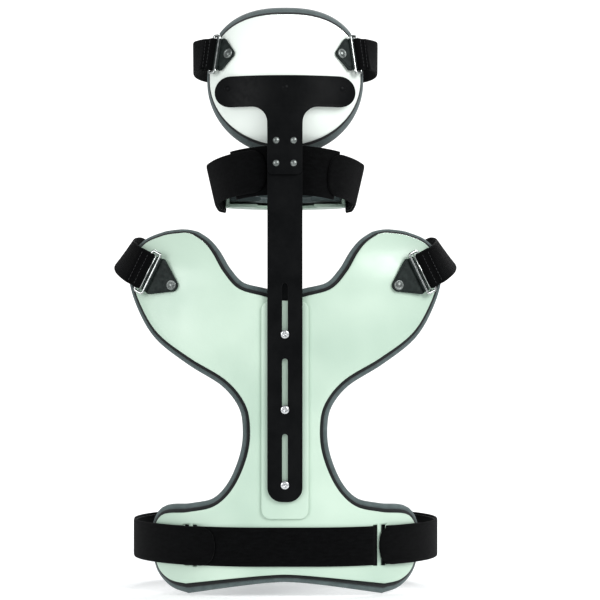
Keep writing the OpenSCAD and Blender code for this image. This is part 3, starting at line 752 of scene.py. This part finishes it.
# ---------- uprights and bracket ----------
def uprights():
    slots = [slot_hole(z) for z in REAR_SLOTS]
    outline = round_box(-BAR_W / 2, REAR_BAR_LOW, BAR_W / 2, REAR_BAR_TOP, 14, 12)
    place = face_matrix((0, BAR_Y - BAR_T / 2, 0))
    bar = sheet_plate("rear_upright_bar", outline, slots, BAR_T, 0.6, place, BLACK)
    finish_piece(bar, HEAD, "black_bar", "rear_upright")

    # The front bar turns in under the chin cup on a bend of small radius.
    top, r = CHIN_Z - GAP - BAR_T / 2, 6.0
    mid = FRONT_BAR_Y + BAR_T / 2
    straight = top - r - FRONT_BAR_LOW
    inward = mid - r - FRONT_BAR_IN
    total = straight + r * math.pi / 2 + inward

    def fold(p):
        s, out = p[1], p[2]
        if s < straight:
            return Vector((p[0], mid + out, FRONT_BAR_LOW + s))
        a = min(math.pi / 2, (s - straight) / r)
        over = s - straight - r * math.pi / 2
        y = mid - r + (r + out) * math.cos(a)
        z = top - r + (r + out) * math.sin(a)
        return Vector((p[0], y - max(0, over), z))

    outline = (arc(BAR_W / 2 - 5, total - 5, 5, 0, 90) + arc(-BAR_W / 2 + 5, total - 5, 5, 90, 180)
        + arc(-BAR_W / 2 + 14, 14, 14, 180, 270) + arc(BAR_W / 2 - 14, 14, 14, 270, 360))
    holes = [slot_hole(z - FRONT_BAR_LOW) for z in FRONT_SLOTS]
    front = sheet_plate("front_upright_bar", outline, holes, BAR_T, 0.6, None, BLACK, warp=fold,
        folds=[straight + r * math.pi / 2 * k / 8 for k in range(9)])
    finish_piece(front, CHIN, "black_bar", "front_upright")


def t_bracket():
    """A flat T whose crossbar wraps round the head plate."""
    half, h, fillet, stem = CROSSBAR_HALF, 15, 15, BAR_W / 2
    z0 = CROSSBAR_Z - h
    outline = arc(half - h, CROSSBAR_Z, h, -90, 90, 16) + arc(-half + h, CROSSBAR_Z, h, 90, 270, 16)
    outline += arc(-stem - fillet, z0 - fillet, fillet, 90, 0, 12) + arc(-stem + 6, BRACKET_LOW, 6, 180, 270)
    outline += arc(stem - 6, BRACKET_LOW, 6, 270, 360) + arc(stem + fillet, z0 - fillet, fillet, 180, 90, 12)
    middle = HEAD_R + 1.65
    bend_z, bend_h = 400, 30

    def wrap(p):
        x, z, out = p
        a = math.asin(max(-1, min(1, x / HEAD_R)))
        share = ease((z - bend_z) / bend_h)
        flat_y = STEM_Y - 1.6 - out
        round_y = HEAD_Y - (middle + out) * math.cos(a)
        round_x = (middle + out) * math.sin(a)
        return Vector((x + (round_x - x) * share, flat_y + (round_y - flat_y) * share, z))

    piece = sheet_plate("t_bracket_plate", outline, [], BRACKET_T, 0.6, None, BLACK, warp=wrap,
        cuts=[k * 3.5 for k in range(-19, 20)], folds=[bend_z + bend_h * k / 10 for k in range(11)])
    finish_piece(piece, HEAD, "black_bar", "t_bracket")


# ---------- head plate ----------
def head_dish(name, r0, r1, grow, rim_r, material):
    """A spherical dish between two radii with a rounded rim."""
    angles, rings = 120, 20

    def outline(a, lip):
        c, s = math.cos(a), math.sin(a)
        e = 2 / 2.6 if s > 0 else 1
        x = (HEAD_HALF + grow * 0.35 + lip) * math.copysign(abs(c) ** e, c)
        z = (HEAD_H / 2 + grow + lip) * math.copysign(abs(s) ** e, s)
        return x, z

    verts, faces, loops = [], [], []
    profile = rounded_rim(0, r0, r1, rim_r)

    def spot(a, share, lip, r):
        x, z = outline(a, lip)
        x, z = x * share, z * share
        return Vector((x, HEAD_Y - math.sqrt(r * r - x * x - z * z), HEAD_Z + z))

    def face_grid(lip, r):
        base = len(verts)
        verts.append(spot(0, 0, 0, r))
        for i in range(1, rings + 1):
            verts.extend(spot(a, i / rings, lip, r) for a in around(angles))
        for k in range(angles):
            faces.append((base, base + 1 + k, base + 1 + (k + 1) % angles))
        rows = stack(rings, angles, base + 1)
        faces.extend(bridge(rows))
        return rows[-1]

    for i, (lip, r) in enumerate(profile):
        if i in (0, len(profile) - 1):
            loops.append(face_grid(lip, r))
        else:
            loops.append([len(verts) + k for k in range(angles)])
            verts.extend(spot(a, 1, lip, r) for a in around(angles))
    return mesh_piece(name, verts, faces + bridge(loops), material)


def head_parts():
    plate = head_dish("head_plate_shell", HEAD_R, HEAD_R - SHELL_T, 0, SHELL_RIM, HEAD_SHELL)
    finish_piece(plate, HEAD, "shell_plastic", "head_plate")
    top = HEAD_R - SHELL_T - 1.2
    pad = head_dish("head_liner_foam", top, top - FOAM_T, HEAD_LIP, FOAM_RIM, FOAM)
    finish_piece(pad, HEAD, "liner_foam", "head_liner")
    # A near-black layer grown past the head plate's rim: the liner's black edge and also a painted shadow
    # under the rim.
    layer = head_dish("head_edge_and_painted_shadow_foam", HEAD_R - SHELL_T - 0.1, top + 0.1, 2.8, 0.4, EDGE_AND_PAINTED_SHADOW)
    finish_piece(layer, HEAD, "liner_foam")


# ---------- chin cup ----------
def chin_wall(name, r0, r1, z0, top, rim_r, material):
    """The cup's curved wall; its rim rises from the middle to the jaw's sides."""
    reach = math.acos(CHIN_BACK / r0)
    steps, section = 72, 24
    mid_r, half = (r0 + r1) / 2, (r0 - r1) / 2
    verts = []
    for i in range(steps + 1):
        a = -reach + 2 * reach * i / steps
        x = mid_r * math.sin(a)
        high = min(50, top + CHIN_R - math.sqrt(max(0, CHIN_R ** 2 - x * x)))
        corner = ease(min(i, steps - i) / 5) ** 0.5
        high = z0 + 8 + (high - (z0 - CHIN_Z) - 8) * (0.72 + 0.28 * corner)
        mid_z, tall = (z0 + high) / 2, (high - z0) / 2
        for t in around(section):
            c, s = math.cos(t), math.sin(t)
            bx = (half - rim_r) * (1 if c > 0 else -1) + rim_r * c
            bz = (tall - rim_r) * (1 if s > 0 else -1) + rim_r * s
            r = mid_r + bx
            verts.append((r * math.sin(a), CHIN_Y + r * math.cos(a), mid_z + bz))
    return mesh_piece(name, verts, skin(steps + 1, section), material)


def chin_floor(name, r0, r1, z0, z1, rim_r, material):
    """A horseshoe floor under the chin."""
    def ring(r, turns):
        reach = math.acos(max(-1, CHIN_BACK / r))
        angles = [-reach + 2 * reach * k / turns for k in range(turns + 1)]
        return [(r * math.sin(a), CHIN_Y + r * math.cos(a)) for a in angles]

    outline = ring(r0, 48) + ring(r1, 40)[::-1]
    return sheet_plate(name, outline, [], z1 - z0, rim_r, Matrix.Translation((0, 0, (z0 + z1) / 2)), material)


def chin_parts():
    wall = chin_wall("chin_cup_shell", CHIN_R, CHIN_R - SHELL_T, CHIN_Z, 26, SHELL_RIM, SHELL)
    floor = chin_floor("chin_cup_floor", CHIN_R - 1.5, CHIN_R - 30, CHIN_Z, CHIN_Z + SHELL_T, 0.9, SHELL)
    finish_piece(join("chin_cup_shell", [wall, floor]), CHIN, "shell_plastic", "chin_cup")
    r, z = CHIN_R - SHELL_T - 0.4, CHIN_Z + SHELL_T
    wall = chin_wall("chin_liner_foam", r, r - 6, z + 2.4, 29, CHIN_FOAM_RIM, FOAM)
    floor = chin_floor("chin_liner_floor", r - 2, CHIN_R - 33, z + 2.4, z + 8, 2.2, FOAM)
    pad = finish_piece(join("chin_liner_foam", [wall, floor]), CHIN, "liner_foam", "chin_liner")


# ---------- tabs, rings and their webbing ----------
def tab_outline(w, reach):
    """A rounded triangle: apex at the rivet, base at the ring."""
    apex, corner = TAB_APEX, 3.5
    x1, y1 = reach - 4.5, w / 2 - corner
    d = math.hypot(x1, y1)
    lean = math.degrees(math.atan2(y1, x1) + math.asin((apex - corner) / d))
    top = arc(x1, y1, corner, 90 + min(40, lean), 0, 6)
    bottom = arc(x1, -y1, corner, 0, -90 - min(40, lean), 6)
    return arc(0, 0, apex, 90 + lean, 270 - lean, 14) + bottom[::-1] + top[::-1]


def rod_sleeve(w, reach, r_out, r_in, matrix, side):
    """The tab's base rolled round the ring's inner rod, and open on top."""
    verts = []
    steps, mid, half = 14, (r_out + r_in) / 2, (r_out - r_in) / 2
    hook = [math.radians(140 + 215 * k / steps) for k in range(steps + 1)]
    tips = [math.radians(90 * k / 3) for k in range(1, 3)]
    section = [(r_out, a) for a in hook]
    section += [(mid + half * math.cos(b), hook[-1] + half * math.sin(b) / mid) for b in tips]
    section += [(r_in, a) for a in reversed(hook)]
    ends = [-w / 2, -w / 2 + 0.6, w / 2 - 0.6, w / 2]
    for y in ends:
        shrink = 0.3 if abs(y) == w / 2 else 0
        for r, a in section:
            r = r - shrink if r > mid else r
            verts.append(matrix @ Vector((reach + r * math.cos(a), y, ROD_UP + r * math.sin(a))))
    return mesh_piece("sleeve", verts, skin(len(ends), len(section)), TAB, side)


def tab_piece(name, w, reach, matrix, side):
    """A tab with a raised panel and its rod sleeve."""
    low, high = (matrix @ Matrix.Translation((0, 0, z)) for z in (1.7, 3.05))
    outline = tab_outline(w, reach)
    base = sheet_plate(name, outline, [], 2.4, 0.7, low, TAB, side)
    panel = [(0.82 * x + 0.4, 0.80 * y) for x, y in outline]
    raised = sheet_plate(name + "_panel", panel, [], 0.9, 0.35, high, TAB, side)
    sleeve = rod_sleeve(w - 2, reach, 3.1, 1.6, matrix, side)
    return join(name, [base, raised, sleeve])


def tab_rivet(name, matrix, side):
    """An eyelet with a domed pin."""
    return turned(name, [(2.4, -6), (2.4, 3.0), (5.0, 3.1), (5.1, 3.6), (4.7, 4.1), (4.0, 4.35), (3.3, 4.2),
        (2.9, 3.8), (2.6, 3.75), (2.3, 4.1), (1.6, 4.45), (0.8, 4.6), (0.05, 4.62)], matrix, RIVET, side)


def wire_ring(name, w, reach, gap, matrix, side, bar=0):
    """A rectangle of round wire with bent corners. bar places a thin bar across it, or 0 for none."""
    half = w / 2 + 2.5
    path = round_box(reach, -half, reach + gap, half, 2.0, 6)
    n, turns = len(path), 16
    verts = []
    for i, (x, y) in enumerate(path):
        before, after = path[i - 1], path[(i + 1) % n]
        t = Vector((after[0] - before[0], after[1] - before[1], 0)).normalized()
        out = Vector((t[1], -t[0], 0))
        for a in around(turns):
            spot = Vector((x, y, ROD_UP)) + (RING_ROD - 0.02) * (out * math.cos(a) + UP * math.sin(a))
            verts.append(matrix @ spot)
    loops = stack(n, turns)
    ring = mesh_piece(name, verts, bridge(loops + loops[:1]), WIRE, side)
    if not bar:
        return ring
    across = matrix @ Matrix.Translation((reach + bar, half, ROD_UP)) @ Matrix.Rotation(math.pi / 2, 4, "X")
    profile = [(0.05, 0), (BAR_ROD, 0.01), (BAR_ROD, 2 * half - 0.01), (0.05, 2 * half)]
    return join(name, [ring, turned(name, profile, across, WIRE, side, 16)])


def loop_points(matrix, x, length):
    """The webbing's sewn end: out from under, round the ring's outer rod and back on top."""
    r, layer = LOOP_R, 1.22
    local = [(x + length, ROD_UP - layer), (x + length * 0.6, ROD_UP - layer)]
    local += [(x + 4.5, ROD_UP - layer - 0.3)]
    turns = [math.radians(a) for a in (-100, -135, -180, -225, -260)]
    local += [(x + r * math.cos(a), ROD_UP + r * math.sin(a)) for a in turns]
    local += [(x + 4.5, ROD_UP + layer + 0.3)]
    local += [(x + length * 0.6, ROD_UP + layer), (x + length, ROD_UP + layer)]
    return [matrix @ Vector((px, 0, pz)) for px, pz in local]


def tab_and_ring(place, label, side, width, reach, gap, matrix, bar=0):
    """A tab and its wire ring, which turn together about the tab's rivet."""
    pivot = f"{place}_tab_{label}_pivot"
    tab = tab_piece(f"{place}_tab_moulding_{label}", width, reach, matrix, side)
    finish_piece(tab, pivot, "tab_plastic", f"{place}_tab_{label}")
    ring = wire_ring(f"{place}_wire_ring_{label}", width, reach, gap, matrix, side, bar)
    finish_piece(ring, pivot, "ring_wire", f"{place}_ring_{label}")
    return pivot


def ring_track(matrix, x, length, route, across):
    """The track of a strap that is sewn round a ring's outer rod at x and then follows its route."""
    fold = loop_points(matrix, x, length)
    w = -(matrix.to_3x3() @ Vector((0, 1, 0)))
    return Track(fold + [Vector(p) for p in route], [w] * len(fold) + [Vector(a) for a in across])


def fold_seam(name, track, length, back, half, side, pivot):
    """The rows of thread that hold a strap's fold, each so far back from the end of the fold."""
    top = 2 * length + LOOP_R * math.pi
    rows = [(top - d, -half, top - d, half) for d in back]
    finish_piece(stitches(name, track, rows, 1.25, side), pivot, "webbing")


def shoulder_parts(label, side):
    m = SHOULDER_STAND
    pivot = tab_and_ring("shoulder", label, side, STRAP_W, SHOULDER_REACH, SHOULDER_GAP, m, SHOULDER_BAR)
    track = ring_track(m, SHOULDER_REACH + SHOULDER_GAP, SHOULDER_FOLD, SHOULDER_ROUTE, SHOULDER_ACROSS)
    web = tape(f"shoulder_webbing_{label}", track, STRAP_W - 1, WEB_T, WEB, side)
    finish_piece(web, None, "webbing", f"shoulder_loop_{label}", f"shoulder_strap_{label}")
    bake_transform(web)
    fold_seam(f"shoulder_seam_{label}", track, SHOULDER_FOLD, (10, 2.5), 16, side, pivot)
    far = track.length
    sewn = stitches(f"shoulder_end_seam_{label}", track, box_runs(far - 26, far - 4, 15.5), 1.25, side)
    finish_piece(sewn, TORSO, "webbing")


def head_strap_parts(label, side):
    m = TEMPLE_STAND
    pivot = tab_and_ring("head", label, side, BROW_W, HEAD_REACH, RING_GAP, m)
    track = ring_track(m, HEAD_REACH + RING_GAP, HEAD_FOLD, BROW_ROUTE, [-UP] * len(BROW_ROUTE))
    web = tape(f"forehead_webbing_{label}", track, BROW_W - 1, WEB_T, WEB, side)
    olds = [f"head_loop_{label}"] + (["forehead_strap"] if side < 0 else [])
    finish_piece(web, None, "webbing", *olds)
    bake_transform(web)
    fold_seam(f"forehead_seam_{label}", track, HEAD_FOLD, (8, 2), 14, side, pivot)


def rivet_set(name, old, stand_matrix, body):
    parts = [tab_rivet(name, stand_matrix, side) for side in (-1, 1)]
    finish_piece(join(name, parts), body, "bright_steel", old)


# ---------- waist ----------
def waist_point(t, off):
    s, c = math.sin(math.radians(t)), math.cos(math.radians(t))
    x = FLAT_HALF + (WAIST_HALF - FLAT_HALF + off) * s
    if t <= 90:
        return Vector((x, -(BACK_DEPTH - SECTION_B) - (SECTION_B + off) * c, 0))
    return Vector((x, FRONT_DEPTH - FRONT_B - (FRONT_B + off) * c, 0))


def level_track(points, step=2.0):
    return Track(points, [UP] * len(points), step)


def waist_parts():
    over = [(x, -1.7) for x in range(0, 81, 10)]
    under = [(86.5, -0.2), (88.5, 6.2), (91.5, 6.2), (95.5, 6.2), (98.5, 0.2)]
    half = [Vector((x, back_face(x, 0) + off, 0)) for x, off in over + under]
    half += [waist_point(t, 1.8) for t in (40, 44, 49, 54, 59)]
    mirror = [Vector((-p[0], p[1], p[2])) for p in reversed(half[1:])]
    band_track = level_track(mirror + half, 1.5)
    band = tape("waist_loop_webbing", band_track, STRAP_W, 1.7, PILE)
    finish_piece(band, TORSO, "webbing", "waist_loop_band")
    mid, hem = band_track.length / 2, STRAP_W / 2 - 2.2
    runs = [(mid - 78, w, mid + 78, w) for w in (-hem, hem)]
    finish_piece(stitches("waist_band_seam", band_track, runs, 0.95), TORSO, "webbing")
    for label, side in SIDES.items():
        start = 20 if side < 0 else 31.5
        turns = [start] + [t for t in range(25, 156, 5) if t > start + 2]
        track = level_track([waist_point(t, 4.3 - 1.4 * ease((t - 60) / 30)) for t in turns])
        web = tape(f"waist_webbing_{label}", track, STRAP_W, STRAP_T, PILE, side, round_start=15, round_end=4)
        finish_piece(web, TORSO, "webbing", f"waist_strap_{label}")
        hem = 16.6
        border = [(14, w, track.length - 6, w) for w in (-hem, hem)]
        turns = [k * math.pi / 10 - math.pi / 2 for k in range(11)]
        curve = [(4.2 + 12 * (1 - math.cos(a)), hem * math.sin(a)) for a in turns]
        nose = [(*a, *b) for a, b in zip(curve, curve[1:])]
        box = box_runs(track.length - 30, track.length - 8, 15)
        seam = stitches(f"waist_seam_{label}", track, border + nose + box, 1.32, side)
        finish_piece(seam, TORSO, "webbing")


# ---------- neck ----------
def neck_point(t, off):
    s, c = math.sin(math.radians(t)), math.cos(math.radians(t))
    return Vector(((73 + off) * s, -28 - (88 + off) * c, 366 - 16 * (1 - c)))


def neck_across(t):
    return Vector((0.24 * math.sin(math.radians(t)) ** 3, 0, 1))


def neck_parts():
    turns = range(-44, 45, 4)
    track = Track([neck_point(t, 0) for t in turns], [neck_across(t) for t in turns])
    band = tape("neck_loop_webbing", track, NECK_W, 1.9, PILE)
    finish_piece(band, HEAD, "webbing", "neck_loop_band")
    for label, side in SIDES.items():
        start = 14 if side < 0 else 34
        turns = [start] + [t for t in range(20, 77, 8) if t > start + 2]
        path = [neck_point(t, 2.7) for t in turns] + [Vector(p) for p in NECK_FRONT]
        track = Track(path, [neck_across(t) for t in turns] + [Vector(a) for a in NECK_FRONT_ACROSS])
        web = tape(f"neck_webbing_{label}", track, NECK_W - 6, STRAP_T, PILE, side,
            round_start=16, round_end=4)
        finish_piece(web, CHIN, "webbing", f"neck_strap_{label}")
        half = NECK_W / 2 - 5.4
        last = track.length - 26
        runs = [(15, w, track.length - 6, w) for w in (-half, half)] + [(last, -half, last, half)]
        seam = stitches(f"neck_seam_{label}", track, runs, 1.32, side)
        finish_piece(seam, CHIN, "webbing")


def forehead_pad():
    loop = [Vector(p) for p in BROW_ROUTE]
    loop += [Vector((-p[0], p[1], p[2])) for p in reversed(BROW_ROUTE[:-1])]
    front = [spline_at(loop, 4 + k / 4) for k in range(25)]
    inner = []
    for i, p in enumerate(front):
        along = (front[min(24, i + 1)] - front[max(0, i - 1)]).normalized()
        inner.append(p + 4.7 * UP.cross(along))
    track = level_track(inner)
    pad = tape("forehead_pad_foam", track, BROW_W + 8, 4.6, FOAM, round_start=12, round_end=12, swell=0.7)
    finish_piece(pad, HEAD, "liner_foam", "forehead_pad")


# ---------- CAD pieces that stay ----------
KEPT = {
    STEEL: ["rear_tee_nuts", "front_tee_nuts", "waist_anchor_rivets", "shoulder_anchor_rivets", "chin_rivets",
        "neck_anchor_rivets"],
    RIVET: ["stem_rivets"],
    BLACK: ["crossbar_rivets"],
}


def refinish():
    for material, names in KEPT.items():
        for name in names:
            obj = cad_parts[name]
            for slot in obj.material_slots:
                slot.material = material


# ---------- studio ----------
def studio():
    centre_x, centre_z, distance, width = 14.6, 239.6, 2400, 582
    camera = bpy.data.cameras.new("camera")
    camera.sensor_width = 36
    camera.lens = 36 * (distance - BACK_DEPTH) / width
    eye = link("camera", camera)
    eye.location = Vector((centre_x, -distance, centre_z)) * MM
    eye.rotation_euler = (math.radians(90), 0, 0)
    scene = bpy.context.scene
    scene.camera = eye
    scene.view_settings.view_transform = "Standard"
    scene.view_settings.look = "Medium High Contrast"
    scene.view_settings.exposure = 0.1

    world = bpy.data.worlds.new("studio")
    world.use_nodes = True
    nodes, links = world.node_tree.nodes, world.node_tree.links
    dim = nodes["Background"]
    dim.inputs["Color"].default_value = (0.96, 0.98, 1, 1)
    dim.inputs["Strength"].default_value = 0.42
    backdrop = node(nodes, "ShaderNodeBackground", Color=(1, 1, 1, 1), Strength=1.0)
    ray = nodes.new("ShaderNodeLightPath")
    mix = nodes.new("ShaderNodeMixShader")
    links.new(ray.outputs["Is Camera Ray"], mix.inputs["Fac"])
    links.new(dim.outputs["Background"], mix.inputs[1])
    links.new(backdrop.outputs["Background"], mix.inputs[2])
    links.new(mix.outputs["Shader"], nodes["World Output"].inputs["Surface"])
    scene.world = world

    for name, place, aim, size, power in (
            ("key", (1.6, -1.7, 1.5), (0, 0, 0.22), 1.3, 36),
            ("fill", (-1.6, -1.7, 0.7), (0, 0, 0.2), 1.2, 15),
            ("rim", (0.4, 1.9, 1.7), (0, 0, 0.3), 1.2, 30)):
        light = bpy.data.lights.new(name, "AREA")
        light.size = size
        light.energy = power
        lamp = link(name, light)
        lamp.location = place
        lamp.rotation_euler = (Vector(aim) - Vector(place)).to_track_quat("-Z", "Y").to_euler()

    # A pale floor that fades into the backdrop.
    floor_z = cad_low[2] / MM - 1.5
    ring = [(x, y, floor_z) for x, y in arc(0, 0, 1500, 0, 360 - 360 / 64, 63)]
    f = Finish("pale_floor", 0.8, Emission_Color=(1, 1, 1, 1), Emission_Strength=0.22)
    f.colour(f.noise(3, 2), ((0.82, 0.83, 0.83), (0.86, 0.87, 0.87)))
    far = node(f.nodes, "ShaderNodeVectorMath", operation="LENGTH")
    f.links.new(f.place, far.inputs[0])
    f.links.new(f.spread(far.outputs["Value"], 1, 0, 0.35, 1.2), f.shader.inputs["Alpha"])
    mesh_piece("floor", ring, [tuple(range(64))], f.mat)


shells()
strips()
screws()
uprights()
t_bracket()
head_parts()
chin_parts()
for label, side in SIDES.items():
    shoulder_parts(label, side)
    head_strap_parts(label, side)
rivet_set("shoulder_tab_eyelets", "shoulder_tab_rivets", SHOULDER_STAND, TORSO)
rivet_set("head_tab_eyelets", "head_tab_rivets", TEMPLE_STAND, HEAD)
waist_parts()
neck_parts()
forehead_pad()
refinish()
studio()
